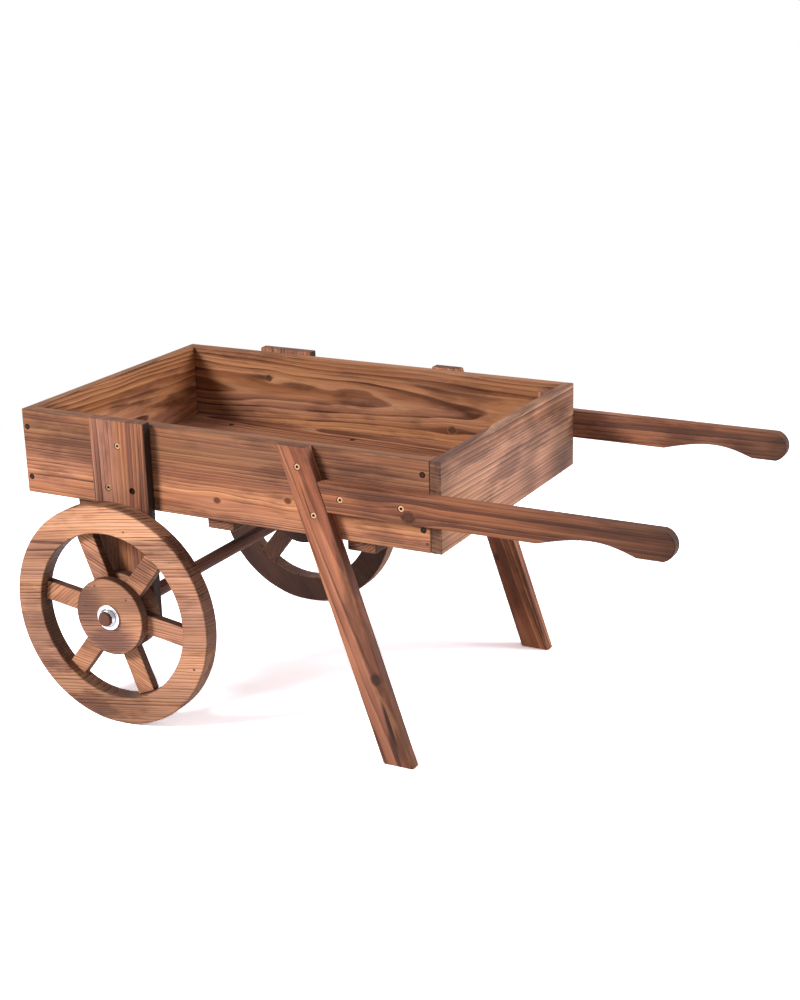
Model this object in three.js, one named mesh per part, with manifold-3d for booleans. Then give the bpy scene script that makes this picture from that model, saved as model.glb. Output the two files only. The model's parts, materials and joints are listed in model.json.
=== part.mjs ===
// Flower cart stand: a shallow planter bed of stained pine boards, carried by two spoked
// wooden wheels on a dowel axle, two raked legs and two shaped handles.
// Millimetres, +Z up. X runs from the wheels towards the handles, Y across the cart, and the
// left side is -Y. Everything is drawn with X = 0 on the axle, then the whole cart is centred.
import * as THREE from 'three';
import { mergeVertices } from 'three/addons/utils/BufferGeometryUtils.js';
import Module from 'manifold-3d';

const wasm = await Module();
wasm.setup();

// Fits
const clearance = 0.3; // between faces that touch
const runningClearance = 0.4; // round the axle, where a wheel turns
const wheelPlay = 0.5; // between a wheel and each of its washers
const easedEdge = 1.2; // the sanded edge of every board
const cutterStand = 1; // how far a cutting tool stands out of the face that it cuts
const weldDistance = 1e-4; // corners this near to each other are one corner

// Planter bed
const bedLength = 620;
const bedWidth = 400;
const bedDepth = 115;
const bedHeight = 283; // underside of the side boards above the ground
const bedOverhang = 164; // wheel end of the bed beyond the axle
const sideThickness = 16;
const endThickness = 14;
const cornerBlockWidth = 22;
const cornerBlockDrop = 6; // top of a corner block below the bed's edge

// Bed floor
const slatCount = 5;
const slatThickness = 12;
const slatGap = 8; // drainage gap between slats
const slatSideGap = 1;
const battenCount = 3;
const battenWidth = 40;
const battenThickness = 15;
const battenSetback = 8; // batten end behind the side board's outer face
const firstBattenInset = 96; // from the wheel end of the bed to the first batten's middle
const battenPitch = 205;

// Wheel posts
const postWidth = 86;
const postThickness = 15;
const postRise = 5; // above the bed's edge
const postBelowAxle = 25;

// Legs
const legWidth = 40;
const legThickness = 16;
const legLean = THREE.MathUtils.degToRad(18.9);
const legRise = 2; // above the bed's edge
const legFootInset = 79.5; // from the handle end of the bed back to the foot's front edge

// Handles
const handleDepth = 37.5;
const handleThickness = 16;
const handleRise = 38; // lower edge above the bed's underside
const handleReach = 295.5; // beyond the handle end of the bed
const handleTipBulge = 14; // how far the rounded tip stands out
const gripFlat = 31.5; // straight underside behind the tip
const gripScoopLength = 121;
const gripScoopDepth = 12;
// The scoop's curve, as shares of its length (apex and pulls) and of its depth (rises)
const scoopShares = {
  apex: 0.55, apexPull: 0.2, startPull: 0.15, startRise: 0.4, endPull: 0.13, endRise: 0.45,
};

// Wheels
const wheelRadius = 150;
const rimDepth = 37.5; // from the tread to the rim's inner edge
const rimThickness = 24;
const spokeCount = 6;
const spokeWidth = 27;
const spokeThickness = 13;
const spokeTipSetback = 1; // spoke tip behind the wheel's bore
const hubRadius = 52;
const frontDiscThickness = 13;
const backDiscThickness = 14;
const wheelTurn = THREE.MathUtils.degToRad(8.5); // how far the wheels are rolled at rest

// Axle and its fittings
const axleRadius = 9.5;
const axleEndStand = 4.5; // dowel end beyond the push-on ring
const axleChamfer = 1.5;
const washerRadius = 17;
const washerThickness = 2;
const ringRadius = 12.5;
const ringThickness = 4;
const ringLip = 1.2; // height of the ring's straight outer wall
const ringCrownShift = 0.4; // the ring's crown outside the middle of its width

// Screws
const screwHeadRadius = 4.3;
const screwHeadDepth = 2.6;
const screwHeadWall = 0.8; // straight wall of the head
const screwShankRadius = 2;
const screwLength = 27;
const screwSink = 0.6; // top of the head below the board's face
const socketAcross = 3.6;
const socketDepth = 1.8;
const postScrewDrop = 29; // upper post screw below the bed's edge
const postScrewRise = 28; // lower post screws above the bed's underside
const postScrewSpread = 19; // lower post screws either side of the middle
const legScrewDrop = 23.5;
const legScrewRise = 32;
const handleScrewFromLeg = 25;
const handleScrewFromEnd = 45;

// Facets
const rimSegments = 96;
const discSegments = 48;
const roundSegments = 28;
const screwSegments = 16;
const handleSegments = 12;
const spokeEndSegments = 4;

// Levels and places that follow from the sizes
const bedTop = bedHeight + bedDepth;
const bedWheelEnd = -bedOverhang;
const bedHandleEnd = bedWheelEnd + bedLength;
const sideFace = bedWidth / 2;
const sideInnerFace = sideFace - sideThickness;
const sideBoardEnd = bedHandleEnd - endThickness - clearance;
const slatStart = bedWheelEnd + endThickness + clearance;
const slatTop = bedHeight + slatThickness;
const fittedFace = sideFace + clearance; // back of what is screwed onto a side board
const postFace = fittedFace + postThickness;
const innerWasherFace = postFace + clearance;
const backDiscFace = innerWasherFace + washerThickness + wheelPlay;
const spokeFace = backDiscFace + backDiscThickness + clearance;
const frontDiscFace = spokeFace + spokeThickness + clearance;
const outerWasherFace = frontDiscFace + frontDiscThickness + wheelPlay;
const ringFace = outerWasherFace + washerThickness + clearance;
const axleEnd = ringFace + ringThickness + axleEndStand;
const rimInnerRadius = wheelRadius - rimDepth;
const footX = bedHandleEnd - legFootInset;
const legSlope = Math.tan(legLean);
const legSpan = legWidth / Math.cos(legLean); // the leg's width along a level line
const handleBottom = bedHeight + handleRise;
const handleTop = handleBottom + handleDepth;

const timber = {
  bed: ['#b27a4d', 0.62],
  frame: ['#8f5a3f', 0.6],
  post: ['#6f4634', 0.62],
  wheel: ['#ad7752', 0.64],
  hidden: ['#7c4f38', 0.7],
  axle: ['#4d2f27', 0.55],
};
const cart = new THREE.Group();

function woodMaterial([color, roughness]) {
  return new THREE.MeshStandardMaterial({ color, roughness, metalness: 0 });
}

function steelMaterial() {
  return new THREE.MeshStandardMaterial({ color: '#d9dbdd', roughness: 0.35, metalness: 1 });
}

function addPiece(name, geometry, material) {
  const piece = new THREE.Mesh(geometry, material);
  piece.name = name;
  cart.add(piece);
  return piece;
}

// Solids for cutting: only the positions are kept, with shared corners merged.
function toSolid(geometry) {
  const bare = geometry.clone();
  bare.deleteAttribute('normal');
  bare.deleteAttribute('uv');
  const merged = mergeVertices(bare, weldDistance);
  const vertProperties = new Float32Array(merged.attributes.position.array);
  const triVerts = new Uint32Array(merged.index.array);
  return new wasm.Manifold(new wasm.Mesh({ numProp: 3, vertProperties, triVerts }));
}

function toGeometry(solid) {
  const mesh = solid.getMesh();
  const geometry = new THREE.BufferGeometry();
  geometry.setAttribute('position', new THREE.BufferAttribute(mesh.vertProperties, mesh.numProp));
  geometry.setIndex(new THREE.BufferAttribute(mesh.triVerts, 1));
  return geometry;
}

function cut(geometry, tools) {
  let solid = toSolid(geometry);
  for (const tool of tools) {
    solid = solid.subtract(toSolid(tool));
  }
  return toGeometry(solid);
}

// Corners of an outline, each cut off by the eased edge.
function easedShape(corners) {
  const shape = new THREE.Shape();
  corners.forEach((corner, i) => {
    const before = corners[(i + corners.length - 1) % corners.length];
    const after = corners[(i + 1) % corners.length];
    const entry = before.clone().sub(corner).setLength(easedEdge).add(corner);
    const exit = after.clone().sub(corner).setLength(easedEdge).add(corner);
    if (i === 0) {
      shape.moveTo(entry.x, entry.y);
    } else {
      shape.lineTo(entry.x, entry.y);
    }
    shape.lineTo(exit.x, exit.y);
  });
  shape.closePath();
  return shape;
}

// A board with eased edges: its outline lies in X and Z, its thickness runs from y = 0 to +Y.
function boardFromShape(shape, thickness, curveSegments) {
  const geometry = new THREE.ExtrudeGeometry(shape, {
    depth: thickness - 2 * easedEdge,
    bevelEnabled: true,
    bevelSize: easedEdge,
    bevelThickness: easedEdge,
    bevelOffset: -easedEdge,
    bevelSegments: 1,
    curveSegments,
  });
  geometry.translate(0, 0, easedEdge);
  geometry.rotateX(Math.PI / 2);
  geometry.translate(0, thickness, 0);
  return geometry;
}

// A plain rectangular board from its lowest to its highest corner.
function block(low, high) {
  const [x0, y0, z0] = low;
  const [x1, y1, z1] = high;
  const corners = [[x0, z0], [x1, z0], [x1, z1], [x0, z1]].map(([x, z]) => new THREE.Vector2(x, z));
  const geometry = boardFromShape(easedShape(corners), y1 - y0, 1);
  geometry.translate(0, y0, 0);
  return geometry;
}

// Puts a board drawn from y = 0 outwards onto one side of the cart.
function ontoSide(geometry, side, innerY, thickness) {
  geometry.translate(0, side > 0 ? innerY : -innerY - thickness, 0);
  return geometry;
}

function lathe(profile, segments) {
  const points = profile.map(([radius, along]) => new THREE.Vector2(radius, along));
  return new THREE.LatheGeometry(points, segments);
}

// A wooden ring round the Y axis, from y = 0 to its thickness. The edges of its outer wall are
// eased, and those of its inner wall too unless it is a bore.
function woodenRing(innerRadius, outerRadius, thickness, innerEdge, segments) {
  const inner = innerEdge > 0
    ? [[innerRadius, thickness - innerEdge], [innerRadius, innerEdge]]
    : [];
  return lathe([
    [innerRadius + innerEdge, 0],
    [outerRadius - easedEdge, 0],
    [outerRadius, easedEdge],
    [outerRadius, thickness - easedEdge],
    [outerRadius - easedEdge, thickness],
    [innerRadius + innerEdge, thickness],
    ...inner,
    [innerRadius + innerEdge, 0],
  ], segments);
}

// Screw with a countersunk head, along Y with its head's top at y = 0 and its tip at -Y.
function screwForm(grow, standOut) {
  const head = screwHeadRadius + grow;
  const shank = screwShankRadius + grow;
  const tip = -screwLength - grow;
  return lathe([
    [0, tip],
    [shank, tip + shank],
    [shank, -screwHeadDepth - grow],
    [head, -screwHeadWall - grow],
    [head, standOut],
    [0, standOut],
  ], screwSegments);
}

function screwGeometry() {
  const socket = new THREE.CylinderGeometry(socketAcross / 2, socketAcross / 2, 2 * socketDepth, 6);
  return cut(screwForm(0, 0), [socket]);
}

// Places a screw, or the hole for it, on a board's outer face, pointing into the cart.
function atScrew(geometry, side, faceY, [x, z]) {
  if (side < 0) {
    geometry.rotateX(Math.PI);
  }
  geometry.translate(x, side * (faceY - screwSink), z);
  return geometry;
}

function screwHoles(side, faceY, spots) {
  const hole = () => screwForm(clearance, screwSink + cutterStand);
  return spots.map((spot) => atScrew(hole(), side, faceY, spot));
}

function axleHole(radius) {
  const geometry = new THREE.CylinderGeometry(radius, radius, 2 * axleEnd, roundSegments);
  geometry.translate(0, 0, wheelRadius);
  return geometry;
}

// Where the screws go on each side, as X and Z.
function postScrewSpots() {
  return [
    [0, bedTop - postScrewDrop],
    [-postScrewSpread, bedHeight + postScrewRise],
    [postScrewSpread, bedHeight + postScrewRise],
  ];
}

function legMiddle(z) {
  return footX + legSpan / 2 - z * legSlope;
}

function legScrewSpots() {
  const levels = [bedTop - legScrewDrop, bedHeight + legScrewRise];
  return levels.map((z) => [legMiddle(z), z]);
}

// The handle's butt end follows the leg's edge at level z.
function handleStart(z) {
  return legMiddle(z) + legSpan / 2 + clearance / Math.cos(legLean);
}

function handleScrewSpots() {
  const z = handleBottom + handleDepth / 2;
  return [[handleStart(z) + handleScrewFromLeg, z], [bedHandleEnd - handleScrewFromEnd, z]];
}

// Draws the underside from the scoop's start to its end.
function addScoop(shape, start) {
  const { apex, apexPull, startPull, startRise, endPull, endRise } = scoopShares;
  const along = (share) => start + share * gripScoopLength;
  const level = (share) => handleBottom + share * gripScoopDepth;
  shape.lineTo(start, handleBottom);
  shape.bezierCurveTo(
    along(startPull), level(startRise),
    along(apex - apexPull), level(1),
    along(apex), level(1),
  );
  shape.bezierCurveTo(
    along(apex + apexPull), level(1),
    along(1 - endPull), level(endRise),
    along(1), handleBottom,
  );
}

function handleShape() {
  const tipStart = bedHandleEnd + handleReach - handleTipBulge;
  const half = handleDepth / 2;
  const tipRadius = (half * half + handleTipBulge * handleTipBulge) / (2 * handleTipBulge);
  const tipAngle = Math.asin(half / tipRadius);
  const tipCentre = tipStart + handleTipBulge - tipRadius;
  const shape = new THREE.Shape();
  shape.moveTo(handleStart(handleBottom), handleBottom);
  addScoop(shape, tipStart - gripFlat - gripScoopLength);
  shape.lineTo(tipStart, handleBottom);
  shape.absarc(tipCentre, handleBottom + half, tipRadius, -tipAngle, tipAngle, false);
  shape.lineTo(handleStart(handleTop), handleTop);
  shape.closePath();
  return shape;
}

function addBed() {
  for (const [sideName, side] of [['left', -1], ['right', 1]]) {
    const yLow = side > 0 ? sideInnerFace : -sideFace;
    const board = block([bedWheelEnd, yLow, bedHeight], [sideBoardEnd, yLow + sideThickness, bedTop]);
    const holes = [
      ...screwHoles(side, postFace, postScrewSpots()),
      ...screwHoles(side, fittedFace + legThickness, legScrewSpots()),
      ...screwHoles(side, fittedFace + handleThickness, handleScrewSpots()),
    ];
    addPiece(`${sideName}_side_board`, cut(board, holes), woodMaterial(timber.bed));
  }
  const wheelEndHalf = sideInnerFace - clearance;
  addPiece('wheel_end_board', block(
    [bedWheelEnd, -wheelEndHalf, bedHeight],
    [bedWheelEnd + endThickness, wheelEndHalf, bedTop],
  ), woodMaterial(timber.bed));
  addPiece('handle_end_board', block(
    [bedHandleEnd - endThickness, -sideFace, bedHeight],
    [bedHandleEnd, sideFace, bedTop],
  ), woodMaterial(timber.frame));
}

function addCornerBlocks() {
  for (const [sideName, side] of [['left', -1], ['right', 1]]) {
    const outer = sideInnerFace - clearance;
    const inner = outer - cornerBlockWidth;
    const yLow = side > 0 ? inner : -outer;
    addPiece(`${sideName}_corner_block`, block(
      [sideBoardEnd - cornerBlockWidth, yLow, slatTop + clearance],
      [sideBoardEnd, yLow + cornerBlockWidth, bedTop - cornerBlockDrop],
    ), woodMaterial(timber.hidden));
  }
}

function addFloor() {
  const floorWidth = 2 * (sideInnerFace - slatSideGap);
  const slatWidth = (floorWidth - (slatCount - 1) * slatGap) / slatCount;
  for (let i = 0; i < slatCount; i += 1) {
    const yLow = -floorWidth / 2 + i * (slatWidth + slatGap);
    addPiece(`floor_slat_${i + 1}`, block(
      [slatStart, yLow, bedHeight],
      [sideBoardEnd, yLow + slatWidth, slatTop],
    ), woodMaterial(timber.hidden));
  }
  const battenTop = bedHeight - clearance;
  const battenHalf = sideFace - battenSetback;
  for (let i = 0; i < battenCount; i += 1) {
    const middle = bedWheelEnd + firstBattenInset + i * battenPitch;
    addPiece(`floor_batten_${i + 1}`, block(
      [middle - battenWidth / 2, -battenHalf, battenTop - battenThickness],
      [middle + battenWidth / 2, battenHalf, battenTop],
    ), woodMaterial(timber.hidden));
  }
}

function addPosts(sideName, side) {
  const low = [-postWidth / 2, 0, wheelRadius - postBelowAxle];
  const high = [postWidth / 2, postThickness, bedTop + postRise];
  const post = ontoSide(block(low, high), side, fittedFace, postThickness);
  const holes = [axleHole(axleRadius + clearance), ...screwHoles(side, postFace, postScrewSpots())];
  addPiece(`${sideName}_wheel_post`, cut(post, holes), woodMaterial(timber.post));
}

function addLeg(sideName, side) {
  const legTop = bedTop + legRise;
  const corners = [
    new THREE.Vector2(footX, 0),
    new THREE.Vector2(footX + legSpan, 0),
    new THREE.Vector2(footX + legSpan - legTop * legSlope, legTop),
    new THREE.Vector2(footX - legTop * legSlope, legTop),
  ];
  const board = boardFromShape(easedShape(corners), legThickness, 1);
  const leg = ontoSide(board, side, fittedFace, legThickness);
  const holes = screwHoles(side, fittedFace + legThickness, legScrewSpots());
  addPiece(`${sideName}_leg`, cut(leg, holes), woodMaterial(timber.frame));
}

function addHandle(sideName, side) {
  const board = boardFromShape(handleShape(), handleThickness, handleSegments);
  const handle = ontoSide(board, side, fittedFace, handleThickness);
  const holes = screwHoles(side, fittedFace + handleThickness, handleScrewSpots());
  addPiece(`${sideName}_handle`, cut(handle, holes), woodMaterial(timber.frame));
}

function addScrews(sideName, side) {
  const groups = [
    ['post', postFace, postScrewSpots()],
    ['leg', fittedFace + legThickness, legScrewSpots()],
    ['handle', fittedFace + handleThickness, handleScrewSpots()],
  ];
  for (const [place, faceY, spots] of groups) {
    spots.forEach((spot, i) => {
      const screw = atScrew(screwGeometry(), side, faceY, spot);
      addPiece(`${sideName}_${place}_screw_${i + 1}`, screw, steelMaterial());
    });
  }
}

function addAxle() {
  const axle = addPiece('axle', lathe([
    [0, -axleEnd],
    [axleRadius - axleChamfer, -axleEnd],
    [axleRadius, -axleEnd + axleChamfer],
    [axleRadius, axleEnd - axleChamfer],
    [axleRadius - axleChamfer, axleEnd],
    [0, axleEnd],
  ], roundSegments), woodMaterial(timber.axle));
  axle.position.z = wheelRadius;
}

// Pieces round the axle are drawn from y = 0 outwards and turned over on the left side.
function addOnAxle(name, geometry, material, side, innerY) {
  const piece = addPiece(name, geometry, material);
  piece.position.set(0, side * innerY, wheelRadius);
  piece.rotation.z = side > 0 ? 0 : Math.PI;
  return piece;
}

function washerGeometry() {
  const bore = axleRadius + clearance;
  return lathe([
    [bore, 0],
    [washerRadius, 0],
    [washerRadius, washerThickness],
    [bore, washerThickness],
    [bore, 0],
  ], roundSegments);
}

function ringGeometry() {
  const bore = axleRadius + clearance;
  return lathe([
    [bore, 0],
    [ringRadius, 0],
    [ringRadius, ringLip],
    [(bore + ringRadius) / 2 + ringCrownShift, ringThickness],
    [bore, ringThickness],
    [bore, 0],
  ], roundSegments);
}

function addAxleFittings(sideName, side) {
  addOnAxle(`${sideName}_inner_washer`, washerGeometry(), steelMaterial(), side, innerWasherFace);
  addOnAxle(`${sideName}_outer_washer`, washerGeometry(), steelMaterial(), side, outerWasherFace);
  addOnAxle(`${sideName}_push_on_ring`, ringGeometry(), steelMaterial(), side, ringFace);
}

// A spoke along +X: pointed where the six meet, curved where it meets the rim.
function spokeShape() {
  const half = spokeWidth / 2;
  const spokeAngle = Math.PI / spokeCount;
  const gap = clearance / 2 / Math.cos(spokeAngle);
  const innerX = axleRadius + runningClearance + spokeTipSetback;
  const shoulderX = (half + gap) / Math.tan(spokeAngle);
  const outerRadius = rimInnerRadius - clearance;
  const endAngle = Math.asin(half / outerRadius);
  const innerHalf = innerX * Math.tan(spokeAngle) - gap;
  const shape = new THREE.Shape();
  shape.moveTo(innerX, -innerHalf);
  shape.lineTo(shoulderX, -half);
  shape.absarc(0, 0, outerRadius, -endAngle, endAngle, false);
  shape.lineTo(shoulderX, half);
  shape.lineTo(innerX, innerHalf);
  shape.closePath();
  return shape;
}

function addWheel(sideName, side) {
  const wood = () => woodMaterial(timber.wheel);
  const bore = axleRadius + runningClearance;
  const name = `${sideName}_wheel`;
  const rim = woodenRing(rimInnerRadius, wheelRadius, rimThickness, easedEdge, rimSegments);
  addOnAxle(`${name}_rim`, rim, wood(), side, spokeFace);
  const backDisc = woodenRing(bore, hubRadius, backDiscThickness, 0, discSegments);
  addOnAxle(`${name}_back_disc`, backDisc, wood(), side, backDiscFace);
  const frontDisc = woodenRing(bore, hubRadius, frontDiscThickness, 0, discSegments);
  addOnAxle(`${name}_front_disc`, frontDisc, wood(), side, frontDiscFace);
  for (let i = 0; i < spokeCount; i += 1) {
    const geometry = boardFromShape(spokeShape(), spokeThickness, spokeEndSegments);
    geometry.rotateY(wheelTurn - (i * 2 * Math.PI) / spokeCount);
    ontoSide(geometry, side, spokeFace, spokeThickness);
    geometry.translate(0, 0, wheelRadius);
    addPiece(`${name}_spoke_${i + 1}`, geometry, wood());
  }
}

addBed();
addCornerBlocks();
addFloor();
addAxle();
for (const [sideName, side] of [['left', -1], ['right', 1]]) {
  addPosts(sideName, side);
  addLeg(sideName, side);
  addHandle(sideName, side);
  addScrews(sideName, side);
  addAxleFittings(sideName, side);
  addWheel(sideName, side);
}

// The origin is on the ground under the middle of the whole cart.
const bounds = new THREE.Box3().setFromObject(cart);
cart.position.x = -(bounds.min.x + bounds.max.x) / 2;

export default cart;
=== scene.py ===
import json
import math
from functools import partial

import bmesh
import bpy
import numpy as np
from mathutils import Matrix, Vector

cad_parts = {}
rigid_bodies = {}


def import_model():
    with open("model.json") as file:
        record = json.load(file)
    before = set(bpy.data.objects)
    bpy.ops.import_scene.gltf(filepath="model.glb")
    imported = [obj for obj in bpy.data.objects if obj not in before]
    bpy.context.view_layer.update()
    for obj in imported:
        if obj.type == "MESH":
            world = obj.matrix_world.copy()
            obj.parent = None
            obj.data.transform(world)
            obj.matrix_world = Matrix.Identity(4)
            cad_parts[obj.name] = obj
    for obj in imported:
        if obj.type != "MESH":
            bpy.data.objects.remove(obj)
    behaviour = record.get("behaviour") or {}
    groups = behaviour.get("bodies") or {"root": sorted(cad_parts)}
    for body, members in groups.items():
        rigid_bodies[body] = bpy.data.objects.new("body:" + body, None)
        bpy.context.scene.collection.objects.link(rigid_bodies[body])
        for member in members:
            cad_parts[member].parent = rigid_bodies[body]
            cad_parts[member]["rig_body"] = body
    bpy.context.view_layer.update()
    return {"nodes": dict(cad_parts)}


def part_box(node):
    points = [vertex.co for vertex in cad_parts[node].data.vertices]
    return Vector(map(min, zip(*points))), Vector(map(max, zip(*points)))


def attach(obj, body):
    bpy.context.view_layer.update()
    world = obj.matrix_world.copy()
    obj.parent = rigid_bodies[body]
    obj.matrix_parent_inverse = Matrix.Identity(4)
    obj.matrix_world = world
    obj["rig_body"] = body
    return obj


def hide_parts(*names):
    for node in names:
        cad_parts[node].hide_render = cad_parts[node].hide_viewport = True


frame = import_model()

# Flower cart stand of torched and brushed pine. Metres, +Z up: X runs from the wheels to the
# handles, Y across the cart, and the left side is -Y. Sizes in the dictionaries are millimetres.
mm = 0.001
scene = bpy.context.scene
axleLow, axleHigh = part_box("axle")
axleX = (axleLow.x + axleHigh.x) / 2
axleZ = (axleLow.z + axleHigh.z) / 2
sides = {"left": -1, "right": 1}


def linearColour(code):  # sRGB hex value to linear red, green, blue and alpha
    parts = [int(code[i:i + 2], 16) / 255 for i in (1, 3, 5)]
    return [c / 12.92 if c <= 0.04045 else ((c + 0.055) / 1.055) ** 2.4 for c in parts] + [1.0]


# Adds a node, sets its properties, then fills or links its inputs. A list goes to the sockets in
# use, in their order, and a dictionary goes by socket name. A node stands for its first output.
def addNode(tree, kind, inputs=(), **settings):
    node = tree.nodes.new("ShaderNode" + kind)
    for name, value in settings.items():
        setattr(node, name, value)
    if isinstance(inputs, dict):
        pairs = [(node.inputs[name], value) for name, value in inputs.items()]
    else:
        pairs = list(zip([s for s in node.inputs if s.enabled], inputs))
    for socket, value in pairs:
        if isinstance(value, bpy.types.Node):
            value = next(s for s in value.outputs if s.enabled)
        if isinstance(value, bpy.types.NodeSocket):
            tree.links.new(value, socket)
        elif value is not None:
            socket.default_value = value
    return node


def newMaterial(name):
    material = bpy.data.materials.new(name)
    material.use_nodes = True
    material.node_tree.nodes.clear()
    return material, partial(addNode, material.node_tree)


def setStops(ramp, stops, interpolation="LINEAR"):
    colours = ramp.color_ramp
    colours.interpolation = interpolation
    while len(colours.elements) < len(stops):
        colours.elements.new(0.5)
    for element, (position, value) in zip(colours.elements, stops):
        element.position = position
        element.color = linearColour(value) if isinstance(value, str) else (value, value, value, 1)
    return ramp


sharpAngle = {"turned": 38, "board": 28}  # degrees past which an edge is drawn sharp


# A grid of points, rows by columns, becomes a closed mesh with a quad for each cell. The columns
# close round; the rows close too, or their two ends are each capped with one face. Faces are
# turned over where the volume they enclose comes out negative.
def gridMesh(name, points, ringed):
    rows, columns = points.shape[:2]
    index = np.arange(rows * columns).reshape(rows, columns)
    walk = np.vstack([index, index[:1]]) if ringed else index
    walk = np.hstack([walk, walk[:, :1]])
    quads = np.stack([walk[:-1, :-1], walk[1:, :-1], walk[1:, 1:], walk[:-1, 1:]], axis=-1)
    quads = quads.reshape(-1, 4)
    flat = points.reshape(-1, 3)
    corners = [flat[quads[:, k]] for k in range(4)]
    volume = np.einsum("ij,ij->i", corners[0], np.cross(corners[1], corners[2])).sum()
    volume += np.einsum("ij,ij->i", corners[0], np.cross(corners[2], corners[3])).sum()
    faces = quads.tolist()
    if not ringed:
        for row, turned in ((index[0], False), (index[-1], True)):
            cap = row[::-1] if turned else row
            middle = flat[cap].mean(0)
            volume += np.einsum("ij,ij->i", np.broadcast_to(middle, flat[cap].shape),
                                np.cross(flat[cap], flat[np.roll(cap, -1)])).sum()
            faces.append(cap.tolist())
    if volume < 0:
        faces = [face[::-1] for face in faces]
    mesh = bpy.data.meshes.new(name)
    mesh.from_pydata(flat.tolist(), [], faces)
    mesh.shade_smooth()
    mesh.set_sharp_from_angle(angle=math.radians(sharpAngle["turned"]))
    return mesh


# Puts a finished mesh into the scene as a piece that rides on a body.
def addPiece(name, mesh, materials, body, stands=()):
    for material in materials:
        mesh.materials.append(material)
    piece = bpy.data.objects.new(name, mesh)
    scene.collection.objects.link(piece)
    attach(piece, body)
    if stands:
        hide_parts(*stands)
    return piece


# Screw holes and the axle's holes: place along the cart, height and how far their edges reach.
holeReach = {"axle": 11.5, "screw": 6.5}
holes = [(axleX, axleZ, holeReach["axle"] * mm)]
for node in frame["nodes"]:
    if "screw" in node:
        low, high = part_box(node)
        holes.append(((low.x + high.x) / 2, (low.z + high.z) / 2, holeReach["screw"] * mm))


# A CAD board with its edges rounded over, as sanding leaves them. The edges of holes stay sharp.
# A board whose holes are all covered is drawn as the box round it. On the other boards both sides
# of the solid's eased edge are rounded, by less than half its breadth, so that it keeps its place.
softEdge = {
    "box": 1.1,
    "solid": 0.8,
    "weld": 0.001,
    "flat": 0.005,  # radians: edges flatter than this are dissolved
    "corner": 0.5,  # radians: edges sharper than this are rounded
}


def softBoard(node, material, segments=2, covered=False):
    mesh = frame["nodes"][node].data.copy()
    work = bmesh.new()
    if covered:
        low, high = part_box(node)
        size = Matrix.Diagonal(high - low).to_4x4()
        bmesh.ops.create_cube(work, size=1, matrix=Matrix.Translation((low + high) / 2) @ size)
    else:
        work.from_mesh(mesh)
        bmesh.ops.remove_doubles(work, verts=work.verts, dist=softEdge["weld"] * mm)
        bmesh.ops.dissolve_limit(work, angle_limit=softEdge["flat"], verts=work.verts,
                                 edges=work.edges)
    weight = work.edges.layers.float.new("bevel_weight_edge")
    for edge in work.edges:
        middle = (edge.verts[0].co + edge.verts[1].co) / 2
        clear = all(math.hypot(middle.x - x, middle.z - z) > reach for x, z, reach in holes)
        if clear and edge.is_manifold and edge.calc_face_angle(0) > softEdge["corner"]:
            edge[weight] = 1.0
    work.to_mesh(mesh)
    work.free()
    mesh.materials.clear()
    mesh.shade_smooth()
    mesh.set_sharp_from_angle(angle=math.radians(sharpAngle["board"]))
    piece = addPiece(node + "_board", mesh, [material], frame["nodes"][node]["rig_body"],
                     [node])
    bevel = piece.modifiers.new("rounded edges", "BEVEL")
    bevel.limit_method = "WEIGHT"
    bevel.width = softEdge["box" if covered else "solid"] * mm
    bevel.segments = segments
    bevel.use_clamp_overlap = False
    bevel.harden_normals = True
    return piece


# Outline of a rectangle with rounded corners: a quarter circle at each corner, with a point just
# before and after it that keeps the flats flat.
def roundedLoop(a0, a1, b0, b1, radius, steps=4, hold=0.4 * mm):
    loop = []
    for k, (a, b) in enumerate(((a1 - radius, b1 - radius), (a0 + radius, b1 - radius),
                                (a0 + radius, b0 + radius), (a1 - radius, b0 + radius))):
        angle = np.linspace(0, math.pi / 2, steps + 1) + k * math.pi / 2
        arc = np.stack([a + radius * np.cos(angle), b + radius * np.sin(angle)], axis=-1)
        before = arc[0] - hold * np.array([-math.sin(angle[0]), math.cos(angle[0])])
        after = arc[-1] + hold * np.array([-math.sin(angle[-1]), math.cos(angle[-1])])
        loop.append(np.vstack([before, arc, after]))
    return np.vstack(loop)


# Turns a section round an axis along Y: at each angle, each point of the section stands at its
# radius, which may change with the angle, and at its own place along the axis.
def turnedPoints(radii, along, x, z, segments):
    angle = np.linspace(0, 2 * math.pi, segments, endpoint=False)
    radii = np.broadcast_to(np.asarray(radii, float).reshape(len(along), -1),
                            (len(along), segments))
    depth = np.broadcast_to(np.asarray(along, float)[:, None], radii.shape)
    return np.stack([x + radii * np.cos(angle), depth, z + radii * np.sin(angle)], axis=-1)


# A board's own frame, from its node: X along the grain, Y through the thickness, Z across the
# width, with the origin in the middle of the board.
def boardFrame(node, grain, thick):
    x, y = np.array(grain, float), np.array(thick, float)
    axes = np.stack([x, y, np.cross(x, y)], axis=1)
    mesh = frame["nodes"][node].data
    corners = np.zeros(len(mesh.vertices) * 3, np.float32)
    mesh.vertices.foreach_get("co", corners)
    own = corners.reshape(-1, 3) @ axes
    low, high = own.min(0), own.max(0)
    middle = axes @ ((low + high) / 2)
    return {
        "axes": axes,
        "middle": tuple(middle),
        "turn": Matrix(axes.tolist()).to_euler(),
        "half": tuple((high - low) / 2 / mm),
        "grain": tuple(x),
        "thick": tuple(y),
        "inward": (0, -float(np.sign(middle[1])), 0),
    }


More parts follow.
